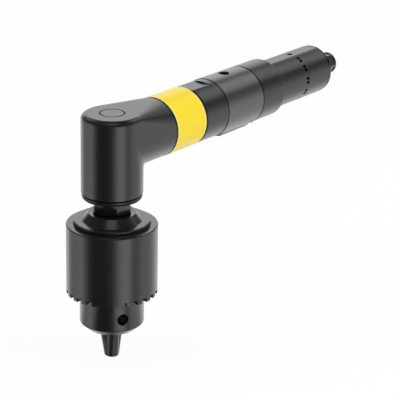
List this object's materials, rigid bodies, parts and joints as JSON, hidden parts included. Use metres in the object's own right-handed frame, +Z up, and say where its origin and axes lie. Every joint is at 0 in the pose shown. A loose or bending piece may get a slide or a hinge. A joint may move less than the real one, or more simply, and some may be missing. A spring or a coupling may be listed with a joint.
{
  "type": "right angle drill",
  "caption": "Slim air powered right angle drill with an upright angle head, keyed three jaw chuck, yellow coupling ring, underside start lever and stepped rear housing.",
  "frame": {"origin": "middle of the mouth of the closed jaws, on the chuck axis", "axes": "+Z up the chuck axis from the jaws to the flat top of the head, +X along the handle from the head to the air inlet, +Y across the tool"},
  "size_m": [0.1937, 0.043, 0.1211],
  "materials": {
    "black_metal": "satin black coating on machined metal",
    "yellow_metal": "smooth yellow coating",
    "chuck_black": "satin black finish on turned steel",
    "jaw_steel": "dark hardened steel",
    "spindle_steel": "black oxide",
    "inlet_steel": "dark plated steel",
    "bearing_steel": "ground and polished",
    "gear_steel": "hardened steel, light oil",
    "motor_steel": "ground",
    "small_steel": "plain",
    "vane_plastic": "fibre filled resin",
    "valve_brass": "turned",
    "silencer_plastic": "porous",
    "seal_rubber": "matt"
  },
  "bodies": {
    "housing": {"angle_head": "black_metal", "head_plug": "black_metal", "head_retaining_ring": "black_metal", "lower_bearing_outer": "bearing_steel", "upper_bearing_outer": "bearing_steel", "pinion_bearing_outer": "bearing_steel", "coupling_ring": "yellow_metal", "gear_case": "black_metal", "carrier_bearing_outer": "bearing_steel", "front_end_plate": "motor_steel", "rear_end_plate": "motor_steel", "motor_cylinder": "motor_steel", "rotor_bearing_outer": "bearing_steel", "motor_barrel": "black_metal", "lever_pin": "small_steel", "valve_seat": "valve_brass", "valve_plug": "small_steel", "rear_housing": "black_metal", "air_tube": "small_steel", "silencer": "silencer_plastic", "inlet_bush": "inlet_steel", "inlet_strainer": "small_steel", "inlet_seal": "seal_rubber"},
    "spindle": {"spindle": "spindle_steel", "bevel_gear": "gear_steel", "gear_key": "gear_steel", "lower_bearing_inner": "bearing_steel", "lower_bearing_balls": "bearing_steel", "upper_bearing_inner": "bearing_steel", "upper_bearing_balls": "bearing_steel", "chuck_body": "chuck_black"},
    "pinion": {"bevel_pinion": "gear_steel", "pinion_spacer": "gear_steel", "pinion_nut": "gear_steel", "pinion_bearing_inner": "bearing_steel", "pinion_bearing_balls": "bearing_steel", "planet_carrier": "gear_steel", "planet_pins": "gear_steel", "carrier_bearing_inner": "bearing_steel", "carrier_bearing_balls": "bearing_steel"},
    "planet_1": {"planet_gear_1": "gear_steel"},
    "planet_2": {"planet_gear_2": "gear_steel"},
    "planet_3": {"planet_gear_3": "gear_steel"},
    "rotor": {"rotor": "motor_steel", "rotor_vanes": "vane_plastic", "sun_pinion": "gear_steel", "rotor_bearing_inner": "bearing_steel", "rotor_bearing_balls": "bearing_steel"},
    "lever": {"start_lever": "black_metal"},
    "valve": {"throttle_valve": "small_steel", "valve_spring": "small_steel"},
    "sleeve": {"chuck_sleeve": "chuck_black", "chuck_nut": "gear_steel"},
    "jaw_1": {"chuck_jaw_1": "jaw_steel"},
    "jaw_2": {"chuck_jaw_2": "jaw_steel"},
    "jaw_3": {"chuck_jaw_3": "jaw_steel"}
  },
  "joints": [
    {"name": "spindle_spin", "type": "hinge", "parent": "housing", "child": "spindle", "pos_m": [0, 0, 0.1066], "axis": [0, 0, 1], "continuous": true},
    {"name": "pinion_spin", "type": "hinge", "parent": "housing", "child": "pinion", "pos_m": [0, 0, 0.1066], "axis": [1, 0, 0], "continuous": true},
    {"name": "rotor_spin", "type": "hinge", "parent": "housing", "child": "rotor", "pos_m": [0, 0, 0.1066], "axis": [1, 0, 0], "continuous": true},
    {"name": "planet_spin_1", "type": "hinge", "parent": "pinion", "child": "planet_1", "pos_m": [0, 0, 0.1138], "axis": [1, 0, 0], "continuous": true},
    {"name": "planet_spin_2", "type": "hinge", "parent": "pinion", "child": "planet_2", "pos_m": [0, -0.00624, 0.103], "axis": [1, 0, 0], "continuous": true},
    {"name": "planet_spin_3", "type": "hinge", "parent": "pinion", "child": "planet_3", "pos_m": [0, 0.00624, 0.103], "axis": [1, 0, 0], "continuous": true},
    {"name": "lever_press", "type": "hinge", "parent": "housing", "child": "lever", "pos_m": [0.0945, 0, 0.0956], "axis": [0, 1, 0], "range_deg": [0, 3], "stiffness_Nm_per_rad": 0.12, "springref_deg": -2.86},
    {"name": "valve_lift", "type": "slide", "parent": "housing", "child": "valve", "axis": [0, 0, 1], "range_m": [0, 0.000628], "deforming": ["valve_spring"]},
    {"name": "sleeve_turn", "type": "hinge", "parent": "spindle", "child": "sleeve", "pos_m": [0, 0, 0], "axis": [0, 0, 1], "range_deg": [0, 3475]},
    {"name": "jaw_slide_1", "type": "slide", "parent": "spindle", "child": "jaw_1", "axis": [-0.1521, -0.2094, 0.9659], "range_m": [0, 0.0193]},
    {"name": "jaw_slide_2", "type": "slide", "parent": "spindle", "child": "jaw_2", "axis": [0.2574, -0.0271, 0.9659], "range_m": [0, 0.0193]},
    {"name": "jaw_slide_3", "type": "slide", "parent": "spindle", "child": "jaw_3", "axis": [-0.1053, 0.2364, 0.9659], "range_m": [0, 0.0193]}
  ],
  "couplings": [
    {"joint": "pinion_spin", "follows": "spindle_spin", "ratio": 1.5},
    {"joint": "rotor_spin", "follows": "spindle_spin", "ratio": 6},
    {"joint": "planet_spin_1", "follows": "spindle_spin", "ratio": -4.5},
    {"joint": "planet_spin_2", "follows": "spindle_spin", "ratio": -4.5},
    {"joint": "planet_spin_3", "follows": "spindle_spin", "ratio": -4.5},
    {"joint": "lever_press", "follows": "valve_lift", "rad_per_m": 83.333},
    {"joint": "sleeve_turn", "follows": "jaw_slide_1", "rad_per_m": 3141.6},
    {"joint": "jaw_slide_2", "follows": "jaw_slide_1", "ratio": 1},
    {"joint": "jaw_slide_3", "follows": "jaw_slide_1", "ratio": 1}
  ]
}
